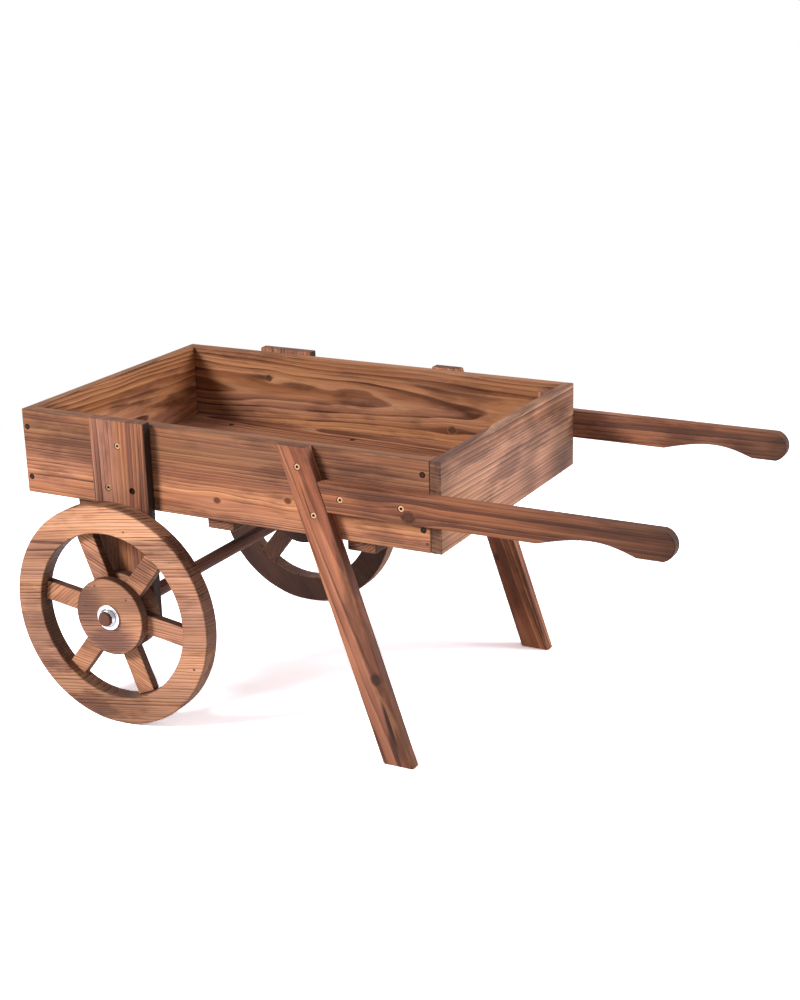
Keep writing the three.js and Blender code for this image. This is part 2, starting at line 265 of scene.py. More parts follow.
# Torched and brushed pine with an oil stain. Brushing leaves the hard summer wood standing in dark
# lines over the lighter spring wood, and the flame leaves edges, ends and odd patches nearly black.
# Sizes in threes run along the grain, through the thickness and across the width.
pineLook = {
    "spring": "#cf8e60",  # lightest wood between the lines
    "spring2": "#a5683f",  # second tone of the broad bands
    "summer": "#5a3322",  # lines of summer wood
    "wearAndHighlight": "#e3ac82",  # worn crest beside a line
    "torched": "#744838",  # patches the flame has browned
    "char": "#271209",  # edges, narrow faces and ends
    "knot": "#4a281a",
    "blush": "#b48170",  # mauve brown that the stain turns to in places
    # crest beside a line, partly wear and partly painted highlight; also the colour of rubbed edges
    "blushShare": 0.5,
    "ringWidth": 3.8,
    "ringUneven": 3.0,
    "ringTone": 0.5,  # how far one ring's wood differs from the next
    "lineDepth": 1.0,
    "lineLow": 0.4,  # the faintest line
    "lineArea": 0.55,  # how strong the lines stay where they fade
    "broken": 0.5,  # how far the lines fade in their gaps
    "lineShare": 0.26,  # share of a ring that is summer wood
    # how strong the crest's wear and painted highlight are
    "crestWearAndHighlight": 0.5,
    "driftReach": 12,  # how far the grain wanders
    "pith": (70, -18),  # the tree's middle, through the thickness and across the width
    "pithLean": (0.012, 0.02),
    "torch": 0.6,
    "edgeReach": 2.4,
    "edge": 0.55,
    "wear": 0.55,  # share of the edges' char that is rubbed off to bare wood
    "narrow": 0.5,
    "end": 0.7,
    "back": 0.0,  # how dark the face that points inwards is: darker torching, and on the wheels also painted shade from the cart
    "relief": 0.35,
    "alongTones": [],  # pairs of a place along the board and how light it looks there
    "acrossTones": [],
    "scorches": [],  # distance behind the axle, height, half length, half width and depth
    "stray": (90, 0, 16),  # how far tones and scorches stray with the grain
    "knots": [],  # distance behind the axle, height over the floor and radius
    "staves": [],  # seams across the width, where a piece is glued up of several boards
    "staveJump": (640, 26, 118),
    "driftSize": (260, 44, 44),
    "areaSize": (170, 26, 26),  # where the lines fade
    "dashSize": (80, 7, 7),  # the gaps in the lines
    "fibreSize": (42, 1.5, 1.5),  # a real fibre bundle is finer; this is as fine as it shows
    "bandSize": (420, 16, 16),
    "patchSize": (120, 34, 34),
    "blushSize": (330, 60, 60),
    "wearSize": (60, 9, 9),
    "seed": 0,
}
# The noise behind each of those sizes, and the values between which its effect sets in.
pineNoise = {
    "drift": dict(detail=2.0),
    "area": dict(detail=1.0, span=(0.38, 0.6)),
    "dash": dict(detail=1.0, span=(0.36, 0.56)),
    "fibre": dict(detail=3.0, roughness=0.6, span=(0.3, 0.7)),
    "band": dict(detail=2.0, span=(0.36, 0.64)),
    "patch": dict(detail=4.0, roughness=0.6, span=(0.47, 0.66)),
    "blush": dict(detail=2.0, span=(0.42, 0.62)),
    "wear": dict(detail=3.0, span=(0.5, 0.62)),
}
# What all the boards share. Turns are cosines between a face and the board's own directions.
pineFinish = {
    "seedStep": (311.0, 173.0, 97.0),  # each seed takes its wood from another part of the noise
    "swellRings": 7,  # rings that one change of their width spans
    "torchedLine": 0.6,  # how far a torched patch strengthens the lines in it
    "scorchRim": (1.6, 0.8),  # where a scorch sets in and is complete, in its half sizes
    "scorchFray": 0.9,
    "edgeStart": 1.2,
    "edgeFray": 2.4,
    "narrowTurn": (0.85, 0.4),
    "endTurn": (0.6, 0.85),
    "backTurn": (0.5, 0.8),
    "staveSeed": 5,
    "staveBlush": -0.26,  # the darker staves are mauver too
    "staveTint": (0.72, 1.12),
    "streak": (0.82, 1.14),  # darkest and lightest fibres
    "rough": (0.66, 0.5),  # between the lines and on them
    "fibreRelief": 0.5,  # height of the fibres beside that of the lines
    "ior": 1.5,
    "specular": 0.2,
    "displayCurve": 2.2,
}
knotForm = {
    "stretch": 0.4,  # the bend round a knot is longer than wide
    "reach": 4.2,  # in radii
    "reachLimit": 24,
    "pull": 0.7,
    "oval": 0.8,
    "edge": (1.1, 0.6),  # where the knot's own wood sets in and is complete, in radii
    "ringWidth": 1.4,
    "cover": 0.85,
}


# A place behind the axle and over the floor, in a board's own frame: along and across it.
def placeOnBoard(board, x, z):
    spot = np.array([axleX + x * mm, 0, z * mm]) - board["middle"]
    return [float(board["axes"][:, axis] @ spot / mm) for axis in (0, 2)]


# The functions below each add one part of the pine's nodes and return what later parts read.
# Boards glued up side by side each get their own shade, from 0 to 1, and their own wood.
def splitStaves(add, look, board, local):
    reach = board["half"][2]
    level = add("SeparateXYZ", [local]).outputs["Z"]
    level = add("MapRange", [level, -reach, reach, 0.0, 1.0])
    starts = [-reach, *look["staves"]]
    seed = look["seed"] + pineFinish["staveSeed"]
    shades = np.random.default_rng(seed).permutation(len(starts)) / len(starts)
    stops = [((start + reach) / (2 * reach), shade) for start, shade in zip(starts, shades)]
    tone = setStops(add("ValToRGB", [level]), stops, "CONSTANT")
    return tone, add("VectorMath", [tone, look["staveJump"], local], operation="MULTIPLY_ADD")


# The grain parts round each knot, which has narrow rings of its own.
def partRoundKnots(add, look, board, local, bent):
    share, rings = None, None
    for x, z, radius in look["knots"]:
        along, across = placeOnBoard(board, x, z)
        gap = add("VectorMath", [local, (along, 0, across)], operation="SUBTRACT")
        away = add("VectorMath", [gap, (knotForm["stretch"], 0, 1)], operation="MULTIPLY")
        away = add("VectorMath", [away], operation="LENGTH")
        reach = min(knotForm["reach"] * radius, knotForm["reachLimit"])
        pull = add("MapRange", [away, 0, reach, -knotForm["pull"], 0],
                   interpolation_type="SMOOTHSTEP")
        rise = add("VectorMath", [gap, (0, 0, 1)], operation="MULTIPLY")
        rise = add("VectorMath", {"Vector": rise, "Scale": pull}, operation="SCALE")
        bent = add("VectorMath", [bent, rise], operation="ADD")
        oval = add("VectorMath", [gap, (knotForm["oval"], 0, 1)], operation="MULTIPLY")
        oval = add("VectorMath", [oval], operation="LENGTH")
        outer, core = (at * radius for at in knotForm["edge"])
        ownShare = add("MapRange", [oval, outer, core, 0, 1])
        ownRings = add("Math", [oval, knotForm["ringWidth"]], operation="DIVIDE")
        if share is None:
            share, rings = ownShare, ownRings
        else:
            rings = add("Mix", [ownShare, rings, ownRings])
            share = add("Math", [share, ownShare], operation="MAXIMUM")
    return bent, share, rings


# The count of rings out from the pith, whose widths vary slowly.
def countRings(add, look, bent):
    pithY, pithZ = look["pith"]
    leanY, leanZ = look["pithLean"]
    bow = add("Mapping", {"Vector": bent, "Location": (0, -pithY, -pithZ),
                          "Rotation": (0, leanY, leanZ)})
    bow = add("VectorMath", [bow, (0, 1, 1)], operation="MULTIPLY")
    outward = add("VectorMath", [bow], operation="LENGTH")
    width = look["ringWidth"]
    slow = add("Math", [outward, pineFinish["swellRings"] * width], operation="DIVIDE")
    slow = add("TexNoise", {"W": slow, "Scale": 1.0, "Detail": 1.0}, noise_dimensions="1D")
    uneven = add("Math", [slow, look["ringUneven"]], operation="MULTIPLY")
    return add("Math", [outward, 1 / width, uneven], operation="MULTIPLY_ADD")


# Each ring darkens slowly to its line of summer wood, ends sharply and starts with a lighter crest,
# partly wear and partly a painted highlight of the raised grain.
def drawLines(add, look, ring, fades):
    within = add("Math", [ring], operation="FRACT")
    share = look["lineShare"]
    profile = setStops(add("ValToRGB", [within]),
                       [(0, 0), (0.4, 0.06), (0.88 - share, 0.25), (1 - share, 0.95),
                        (1 - 0.27 * share, 1), (1, 0)])
    wornHighlitCrest = setStops(add("ValToRGB", [within]), [(0, 1), (0.16, 1), (0.34, 0)])
    which = add("TexWhiteNoise", {"W": add("Math", [ring], operation="FLOOR")},
                noise_dimensions="1D")
    which = add("SeparateColor", [which.outputs["Color"]])
    strength = add("MapRange", [which.outputs["Red"], 0, 1, look["lineLow"], 1])
    line = profile
    for fade in (strength, *fades):
        line = add("Math", [line, fade], operation="MULTIPLY")
    for fade in (strength, look["crestWearAndHighlight"]):
        wornHighlitCrest = add("Math", [wornHighlitCrest, fade], operation="MULTIPLY")
    swing = look["ringTone"]
    return profile, line, wornHighlitCrest, add("MapRange", [which.outputs["Green"], 0, 1, -swing, swing])


# Torched patches: where the noise is high, and where the look asks for one.
def torchPatches(add, look, board, patch, loose, fibre):
    patch = add("MapRange", [patch, *pineNoise["patch"]["span"], 0, look["torch"]],
                interpolation_type="SMOOTHSTEP")
    for x, z, halfLength, halfWidth, depth in look["scorches"]:
        along, across = placeOnBoard(board, x, z)
        gap = add("VectorMath", [loose, (along, 0, across)], operation="SUBTRACT")
        gap = add("VectorMath", [gap, (1 / halfLength, 0, 1 / halfWidth)], operation="MULTIPLY")
        gap = add("VectorMath", [gap], operation="LENGTH")
        gap = add("Math", [fibre, pineFinish["scorchFray"], gap], operation="MULTIPLY_ADD")
        mark = add("MapRange", [gap, *pineFinish["scorchRim"], 0, depth],
                   interpolation_type="SMOOTHSTEP")
        patch = add("Math", [patch, mark], operation="MAXIMUM")
    return patch


# How far a point of the surface is from the nearest edge: the middle one of its depths under the
# three pairs of faces, or for a ring the greater of its depths under the round and flat faces.
def edgeDistance(add, board, local):
    if "radii" in board:
        inner, outer = board["radii"]
        spread = add("VectorMath", [local, (1, 0, 1)], operation="MULTIPLY")
        spread = add("VectorMath", [spread], operation="LENGTH")
        outside = add("Math", [outer, spread], operation="SUBTRACT")
        inside = add("Math", [spread, inner], operation="SUBTRACT")
        near = add("Math", [inside, outside], operation="MINIMUM")
        depth = add("Math", [add("SeparateXYZ", [local]).outputs["Y"]], operation="ABSOLUTE")
        depth = add("Math", [board["half"][1], depth], operation="SUBTRACT")
        return add("Math", [near, depth], operation="MAXIMUM")
    depth = add("VectorMath", [local], operation="ABSOLUTE")
    depth = add("VectorMath", [board["half"], depth], operation="SUBTRACT")
    depth = add("SeparateXYZ", [depth])
    low = add("Math", [depth.outputs["X"], depth.outputs["Y"]], operation="MINIMUM")
    high = add("Math", [depth.outputs["X"], depth.outputs["Y"]], operation="MAXIMUM")
    high = add("Math", [high, depth.outputs["Z"]], operation="MINIMUM")
    return add("Math", [low, high], operation="MAXIMUM")


# Where a face turns to the board's narrow side, its end or the inside of the cart. Faces turned
# inwards are darker partly from torching and partly as painted shade.
def turnedFaces(add, look, board, normal):
    facing = add("VectorMath", [normal, board["thick"]], operation="DOT_PRODUCT")
    facing = add("Math", [facing], operation="ABSOLUTE")
    narrow = add("MapRange", [facing, *pineFinish["narrowTurn"], 0, look["narrow"]])
    ending = add("VectorMath", [normal, board["grain"]], operation="DOT_PRODUCT")
    ending = add("Math", [ending], operation="ABSOLUTE")
    ending = add("MapRange", [ending, *pineFinish["endTurn"], 0, 1])
    turned = add("Mix", [ending, narrow, look["end"]])
    inwardCharAndShade = add("VectorMath", [normal, board["inward"]], operation="DOT_PRODUCT")
    inwardCharAndShade = add("MapRange", [inwardCharAndShade, *pineFinish["backTurn"], 0, look["back"]])
    return add("Math", [turned, inwardCharAndShade], operation="MAXIMUM")


# Char along the edges, partly rubbed off, and on the turned faces.
def charMasks(add, look, board, place, local, noise):
    near = edgeDistance(add, board, local)
    near = add("Math", [noise["fibre"], pineFinish["edgeFray"], near], operation="MULTIPLY_ADD")
    start = pineFinish["edgeStart"]
    edge = add("MapRange", [near, start, start + look["edgeReach"], look["edge"], 0],
               interpolation_type="SMOOTHSTEP")
    rub = add("MapRange", [noise["wear"], *pineNoise["wear"]["span"], 0, look["wear"]])
    worn = add("Math", [edge, rub], operation="MULTIPLY")
    edge = add("Math", [edge, worn], operation="SUBTRACT")
    turned = turnedFaces(add, look, board, place.outputs["Normal"])
    return worn, add("Math", [edge, turned], operation="MAXIMUM")


# Slow changes of tone along and across the board, given as they look, so raised to linear light.
def shadeBoard(add, look, loose, colour):
    for axis, tones in (("X", look["alongTones"]), ("Z", look["acrossTones"])):
        if tones:
            first, last = tones[0][0], tones[-1][0]
            spot = add("SeparateXYZ", [loose]).outputs[axis]
            spot = add("MapRange", [spot, first, last, 0, 1])
            curve = pineFinish["displayCurve"]
            stops = [((at - first) / (last - first), tone ** curve) for at, tone in tones]
            shade = setStops(add("ValToRGB", [spot]), stops, "EASE")
            colour = add("Mix", [1.0, colour, shade], data_type="RGBA", blend_type="MULTIPLY")
    return colour


# The whole material of one board, from the board's frame and what differs from pineLook.
def brushedPine(name, board, **changes):
    look = {**pineLook, **changes}
    material, add = newMaterial(name)
    place = add("TexCoord")
    local = add("Mapping", {
        "Vector": place.outputs["Object"], "Location": board["middle"],
        "Rotation": board["turn"], "Scale": (mm, mm, mm),
    }, vector_type="TEXTURE")
    tone, grown = None, local
    if look["staves"]:
        tone, grown = splitStaves(add, look, board, local)
    own = add("VectorMath", [grown, tuple(look["seed"] * step for step in pineFinish["seedStep"])],
              operation="ADD")
    noise = {}
    for key, form in pineNoise.items():
        spot = add("VectorMath", [own, look[key + "Size"]], operation="DIVIDE")
        noise[key] = add("TexNoise", {"Vector": spot, "Scale": 1.0, "Detail": form["detail"],
                                      "Roughness": form.get("roughness", 0.5)})
    drift = noise["drift"].outputs["Color"]
    fibre = noise["fibre"]

    # The grain wanders slowly, and the same drift makes the borders of tones and patches uneven.
    reach = look["driftReach"]
    bent = add("VectorMath", [drift, (0, reach, reach), grown], operation="MULTIPLY_ADD")
    loose = add("VectorMath", [drift, (0.5, 0.5, 0.5)], operation="SUBTRACT")
    loose = add("VectorMath", [loose, look["stray"], local], operation="MULTIPLY_ADD")
    bent, knotShare, knotRings = partRoundKnots(add, look, board, local, bent)
    ring = countRings(add, look, bent)
    if knotShare is not None:
        ring = add("Mix", [knotShare, ring, knotRings])
    fades = [add("MapRange", [noise[key], *pineNoise[key]["span"], least, 1])
             for key, least in (("area", look["lineArea"]), ("dash", 1 - look["broken"]))]
    profile, line, wornHighlitCrest, ringTone = drawLines(add, look, ring, fades)
    patch = torchPatches(add, look, board, noise["patch"], loose, fibre)
    patchLine = add("Math", [patch, pineFinish["torchedLine"]], operation="MULTIPLY")
    line = add("Math", [profile, patchLine, line], operation="MULTIPLY_ADD", use_clamp=True)

    band = add("MapRange", [noise["band"], *pineNoise["band"]["span"], 0, 1])
    band = add("Clamp", [add("Math", [band, ringTone], operation="ADD")])
    blush = noise["blush"]
    if tone is not None:
        swing = add("Math", [tone, 0.5], operation="SUBTRACT")
        blush = add("Math", [swing, pineFinish["staveBlush"], blush], operation="MULTIPLY_ADD")
    blush = add("MapRange", [blush, *pineNoise["blush"]["span"], 0, look["blushShare"]])
    worn, dark = charMasks(add, look, board, place, local, noise)

    depth = add("Math", [line, look["lineDepth"]], operation="MULTIPLY")
    colour = linearColour(look["spring"])
    # The crest beside each line is partly wear, partly painted highlight.
    for share, key in ((band, "spring2"), (blush, "blush"), (wornHighlitCrest, "wearAndHighlight"),
                       (patch, "torched"), (depth, "summer")):
        colour = add("Mix", [share, colour, linearColour(look[key])], data_type="RGBA")
    if tone is not None:
        tint = add("MapRange", [tone, 0, 1, *pineFinish["staveTint"]])
        colour = add("Mix", [1.0, colour, tint], data_type="RGBA", blend_type="MULTIPLY")
    if knotShare is not None:
        share = add("Math", [knotShare, knotForm["cover"]], operation="MULTIPLY")
        colour = add("Mix", [share, colour, linearColour(look["knot"])], data_type="RGBA")
    colour = shadeBoard(add, look, loose, colour)
    for share, key in ((worn, "wearAndHighlight"), (dark, "char")):
        colour = add("Mix", [share, colour, linearColour(look[key])], data_type="RGBA")
    streak = add("MapRange", [fibre, *pineNoise["fibre"]["span"], *pineFinish["streak"]])
    colour = add("Mix", [1.0, colour, streak], data_type="RGBA", blend_type="MULTIPLY")

    rough = add("MapRange", [line, 0, 1, *pineFinish["rough"]])
    height = add("Math", [fibre, pineFinish["fibreRelief"], line], operation="MULTIPLY_ADD")
    bump = add("Bump", {"Height": height, "Distance": look["relief"] * mm, "Strength": 1.0})
    shader = add("BsdfPrincipled", {
        "Base Color": colour, "Roughness": rough, "Normal": bump,
        "IOR": pineFinish["ior"], "Specular IOR Level": pineFinish["specular"],
    })
    add("OutputMaterial", {"Surface": shader})
    return material


alongX, alongY, alongZ = (1, 0, 0), (0, 1, 0), (0, 0, 1)

# Planter bed: light side boards, a redder handle end, and inner pieces stained darker.
bedPine = {
    "left_side_board": dict(
        grain=alongX, thick=alongY, seed=1, pith=(48, 120), ringWidth=4.3, narrow=0.35,
        back=0.3, spring="#d18d62", spring2="#a4654a", char="#3a1e12", lineLow=0.3,
        lineArea=0.5, ringUneven=5.0, driftReach=9, blush="#ad7560", broken=0.8,
        acrossTones=[(-58, 0.98), (-26, 1.06), (2, 0.88), (28, 0.75), (58, 0.82)],
        knots=[(139, 310, 4.8), (244, 323, 4.6), (437, 294, 1.9)],
        scorches=[(-60, 352, 60, 26, 0.5), (60, 296, 70, 4, 0.5), (385, 296, 40, 2.5, 0.6)]),
    "right_side_board": dict(
        grain=alongX, thick=alongY, seed=2, pith=(-66, 12), ringWidth=4.0, narrow=0.35,
        char="#3a1e12", back=0.3, knots=[(-21, 362, 5), (279, 316, 6)]),
    "wheel_end_board": dict(
        grain=alongY, thick=alongX, seed=3, pith=(-80, 20), char="#3a1e12", back=0.3),
    "handle_end_board": dict(
        grain=alongY, thick=alongX, seed=4, pith=(-40, 250), spring="#cd9575",
        spring2="#a26a4e", summer="#4c2b20", wearAndHighlight="#e6b696", torched="#6a4236",
        char="#3a1e12", ringWidth=5.4, lineLow=0.3, lineArea=0.6, crestWearAndHighlight=0.6, end=0.45,
        narrow=0.35, blushShare=0.45, driftReach=7, alongTones=[
            (-195, 0.82), (-150, 0.98), (-40, 1.04), (20, 0.98), (60, 0.8), (90, 1.0),
            (150, 0.76), (195, 0.9)]),
}
for node, look in bedPine.items():
    board = boardFrame(node, look.pop("grain"), look.pop("thick"))
    softBoard(node, brushedPine("torched pine " + node, board, **look),
              covered=True)

innerPine = {
    "boards": dict(spring="#9c6547", spring2="#7c4b37", summer="#4a2b1f", edge=0.4,
                   narrow=0.8, end=0.3),
    "seed": 40,
}
for number, node in enumerate(sorted(frame["nodes"])):
    if node.startswith("floor_"):
        board = boardFrame(node, alongX if "slat" in node else alongY, alongZ)
    elif node.endswith("corner_block"):
        board = boardFrame(node, alongZ, alongY)
    else:
        continue
    softBoard(node, brushedPine("brown pine " + node, board, seed=innerPine["seed"] + number,
                                **innerPine["boards"]))
print("bed boards dressed")

# Posts, legs and handles. The legs and handles are from coarser, faster grown wood.
legLean = math.radians(18.9)
legLine = (-math.sin(legLean), 0, math.cos(legLean))
postPine = dict(
    grain=alongZ, thick=alongY, ringWidth=5.4, spring="#aa6d4b", spring2="#7c4c3d",
    summer="#3c2117", wearAndHighlight="#cf9268", crestWearAndHighlight=0.35, lineDepth=0.85, narrow=0.95, end=0.5,
    char="#170a05", lineLow=0.35, ringTone=0.8, ringUneven=4.0, driftReach=10, lineShare=0.2,
    blushShare=0.6)
coarsePine = dict(
    ringWidth=7.6, ringUneven=2.0, ringTone=0.9, lineShare=0.17, lineLow=0.3, narrow=0.12,
    blushShare=0.35, edge=0.4, driftSize=(300, 60, 60), driftReach=5,
    bandSize=(600, 12, 12))
framePine = {
    "left_wheel_post": dict(postPine, seed=61, pith=(44, 120), scorches=[
        (-32, 300, 120, 6, 0.7), (34, 300, 120, 5, 0.8)]),
    "right_wheel_post": dict(postPine, seed=62, pith=(-44, 110)),
    "left_leg": dict(
        coarsePine, grain=legLine, thick=alongY, seed=63, pith=(26, -14), spring="#b8704c",
        spring2="#9a5b42", torched="#2c160e", knot="#24120c", pithLean=(0.02, 0.035),
        wearAndHighlight="#cd9168", crestWearAndHighlight=0.35, stray=(40, 0, 8),
        knots=[(370, 112.8, 8.2)], alongTones=[(-190, 0.86), (-110, 0.9), (-60, 1), (190, 1.02)],
        scorches=[(385, 57, 46, 5, 1.0), (393, 22, 34, 4, 0.95), (373, 22, 30, 3, 0.7),
                  (363, 133, 24, 5, 0.6), (286, 330, 40, 8, 0.35)]),
    "right_leg": dict(
        coarsePine, grain=legLine, thick=alongY, seed=64, pith=(-30, 18), spring="#b8704c",
        spring2="#9a5b42", torched="#4a2a1e", knots=[(338.8, 130.6, 4.6)]),
    "left_handle": dict(
        coarsePine, grain=alongX, thick=alongY, seed=65, pith=(34, 130), spring="#b8724f",
        spring2="#7b4835", summer="#3f2318", torched="#573228", char="#351c12",
        ringWidth=5.8, wearAndHighlight="#d0906a", crestWearAndHighlight=0.6, edge=0.3, narrow=0.05,
        knots=[(420.4, 330.5, 7.4)], knot="#63382a",
        alongTones=[(-225, 0.9), (-60, 0.84), (20, 0.82), (110, 0.74), (190, 0.58), (226, 0.48)],
        scorches=[(400, 352, 110, 5, 0.6), (640, 345, 110, 6, 0.6), (560, 331, 60, 3, 0.5)]),
    "right_handle": dict(
        coarsePine, grain=alongX, thick=alongY, seed=66, pith=(-34, 120), spring="#b8724f",
        spring2="#7b4835", summer="#3f2318", torched="#573228", char="#351c12",
        ringWidth=5.4, crestWearAndHighlight=0.3, edge=0.3, narrow=0.05,
        alongTones=[(-225, 0.95), (20, 0.9), (110, 0.82), (190, 0.7), (226, 0.58)],
        scorches=[(600, 348, 110, 5, 0.5)]),
}
for node, look in framePine.items():
    board = boardFrame(node, look.pop("grain"), look.pop("thick"))
    softBoard(node, brushedPine("torched pine " + node, board, **look),
              3)
print("frame dressed")

# Wheels: rims and hub discs glued up of 50 mm staves, spokes cut from the same pine.
wheelPine = {
    "staveWidth": 50.3,
    "firstSeam": -97,
    "seams": 5,
    "seamMargin": 1,  # a seam nearer than this to a round piece's edge is left out
    "roundSeed": 80,
    "spokeSeed": 110,
    "sideSeed": 20,  # what the right side adds
    "spokeHalf": 900,  # far past a spoke's real edges, which aren't charred
    "round": {"rim": 2.0, "back_disc": 1.6, "front_disc": 1.6},  # rounding of the edges
    "segments": {"rim": 256, "back_disc": 128, "front_disc": 128},
    "rimInner": 112.5,
    "bore": 9.9,
    "staveTurn": {"left": 8.5, "right": -51.5},  # the way the staves run when the cart stands
    "rimCharAndShade": {"left": 0.62, "right": 0.8},  # char on the rim's narrow faces; the far wheel's extra darkness is painted shade from the cart
    # back darkens the wheels' faces turned to the cart: part char, part painted shade under the
    # cart.
    "rim": dict(pith=(14, 130), ringWidth=3.9, driftReach=7, lineLow=0.42,
                back=0.93, spring="#dea07c", spring2="#bd8361", blushShare=0.6, torch=0.75,
                char="#2a120a", end=0.6, knots=[(127, 98, 1.8), (31, 270, 1.5)],
                alongTones=[(-150, 0.98), (-60, 0.96), (60, 1.04), (150, 1.09)],
                acrossTones=[(-150, 0.86), (-95, 0.9), (-50, 0.99), (0, 1.0), (150, 1.03)],
                scorches=[(-86, 236, 60, 22, 0.3), (-30, 22, 100, 10, 0.35),
                          (-132, 140, 18, 44, 0.2)]),
    "disc": dict(pith=(20, 120), ringWidth=3.4, narrow=0.85, driftReach=4, lineLow=0.15,
                 lineArea=0.3, back=0.93, spring="#dc9a74", spring2="#c68a68", blushShare=0.3,
                 torch=0.2, torched="#75524a", char="#2a120a", stray=(20, 0, 6),
                 scorches=[(-40, 158, 42, 46, 0.75), (-2, 118, 56, 27, 0.9)],
                 knots=[(-20, 190, 1.5), (29, 178, 1.5), (-38, 160, 1.3)]),
    "spoke": dict(pith=(18, 90), ringWidth=3.8, narrow=0.9, driftReach=5, back=0.9,
                  spring="#cf906c", spring2="#b3785b", char="#2a120a"),
    "spokeGrain": {  # the way each spoke's grain runs when the cart stands
        "left": (-4, -22, -24, 40, -10, -28),
        "right": (20, 62, 118, 175, 250, 300),
    },
}
seams = [wheelPine["firstSeam"] + k * wheelPine["staveWidth"]
         for k in range(wheelPine["seams"])]
for sideName, side in sides.items():
    turn = math.radians(wheelPine["staveTurn"][sideName])
    staveLine = (math.cos(turn), 0, math.sin(turn))
    sideSeed = wheelPine["sideSeed"] if side > 0 else 0
    for k, part in enumerate(("rim", "back_disc", "front_disc")):
        node = f"{sideName}_wheel_{part}"
        board = boardFrame(node, staveLine, alongY)
        low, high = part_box(node)
        outer = (high.x - low.x) / 2
        inner = wheelPine["rimInner" if part == "rim" else "bore"] * mm
        board["radii"] = (inner / mm, outer / mm)
        board["half"] = (outer / mm, board["half"][1], outer / mm)
        look = dict(wheelPine["rim" if part == "rim" else "disc"])
        if part == "rim":
            look["narrow"] = wheelPine["rimCharAndShade"][sideName]
        look["staves"] = [s for s in seams if abs(s) < outer / mm - wheelPine["seamMargin"]]
        look["seed"] = wheelPine["roundSeed"] + sideSeed + k
        section = roundedLoop(inner, outer, low.y, high.y, wheelPine["round"][part] * mm)
        points = turnedPoints(section[:, 0], section[:, 1], axleX, axleZ,
                              wheelPine["segments"][part])
        addPiece(node + "_wood", gridMesh(node, points, True),
                 [brushedPine("torched pine " + node, board, **look)],
                 f"{sideName}_wheel", [node])
    for k, degrees in enumerate(wheelPine["spokeGrain"][sideName]):
        node = f"{sideName}_wheel_spoke_{k + 1}"
        grain = math.radians(degrees)
        board = boardFrame(node, (math.cos(grain), 0, math.sin(grain)), alongY)
        board["half"] = (wheelPine["spokeHalf"], board["half"][1], wheelPine["spokeHalf"])
        seed = wheelPine["spokeSeed"] + sideSeed + k
        softBoard(node, brushedPine("torched pine " + node, board, seed=seed,
                                    **wheelPine["spoke"]))
print("wheels made")

# Beech dowel with a dark brown stain. A quarter circle rounds each end over, between the flat in
# the end's middle and the straight side.
dowel = {
    "radius": 9.5,
    "rounding": 1.8,
    "flat": 0.5,  # radius of the last row of points
    "hold": 0.6,  # a row just behind the rounding keeps the side straight
    "arcSteps": 5,
    "segments": 64,
    "look": dict(seed=140, spring="#5c382c", spring2="#40271f", summer="#2c1a15", wearAndHighlight="#7a5040",
                 char="#6f4538", narrow=0, edge=0.0, end=0.85, ringWidth=2.4, pith=(3, 30)),
}
radius, rounding, flat, hold = (dowel[key] * mm for key in ("radius", "rounding", "flat", "hold"))
arc = np.linspace(0, math.pi / 2, dowel["arcSteps"] + 1)
tipRadii = np.concatenate([[flat], radius - rounding + rounding * np.sin(arc), [radius]])
tipDepth = np.concatenate([[0], rounding * (1 - np.cos(arc)), [rounding + hold]])
along = np.concatenate([axleLow.y + tipDepth, (axleHigh.y - tipDepth)[::-1]])
points = turnedPoints(np.concatenate([tipRadii, tipRadii[::-1]]), along, axleX, axleZ,
                      dowel["segments"])
board = boardFrame("axle", alongY, alongX)
addPiece("axle_dowel", gridMesh("axle_dowel", points, False),
         [brushedPine("stained beech dowel", board, **dowel["look"])], "cart",
         ["axle"])


plateLook = {
    "cloudSpan": (0.3, 0.7),  # noise values between which a cloud sets in
    "zincClouds": 0.9,  # for each millimetre; real crystals are finer than the render shows
    "zincLightness": (0.9, 1.0),
    # Painted shade inside screw sockets: its clouds, lightness and roughness.
    "socketShadeClouds": 1.5,
    "socketShadeLightness": (0.6, 1.2),
    "socketShadeRough": 0.85,
}


# A colour with clouds between a lower and a higher lightness, and the clouds themselves.
def cloudedColour(add, colour, cloudsPerMm, lightness):
    place = add("TexCoord")
    cloud = add("TexNoise", {"Vector": place.outputs["Object"], "Scale": cloudsPerMm / mm,
                             "Detail": 2.0})
    tint = add("MapRange", [cloud, *plateLook["cloudSpan"], *lightness])
    colour = add("Mix", [1.0, linearColour(colour), tint], data_type="RGBA",
                 blend_type="MULTIPLY")
    return colour, cloud


# Bright zinc plate on steel: pale, fairly smooth, with a faint crystalline cloudiness.
def zincPlate(name, colour, rough):
    material, add = newMaterial(name)
    colour, cloud = cloudedColour(add, colour, plateLook["zincClouds"],
                                  plateLook["zincLightness"])
    gloss = add("MapRange", [cloud, *plateLook["cloudSpan"], *rough])
    shader = add("BsdfPrincipled", {"Base Color": colour, "Roughness": gloss, "Metallic": 1.0})
    add("OutputMaterial", {"Surface": shader})
    return material


# Painted shade for the inside of a screw's socket: matt and nearly black, with faint clouds.
def paintedSocketShade(name, colour):
    material, add = newMaterial(name)
    colour, _ = cloudedColour(add, colour, plateLook["socketShadeClouds"], plateLook["socketShadeLightness"])
    shader = add("BsdfPrincipled", {"Base Color": colour, "Roughness": plateLook["socketShadeRough"]})
    add("OutputMaterial", {"Surface": shader})
    return material


zinc = zincPlate("bright zinc plate", "#d6d6d9", (0.22, 0.42))
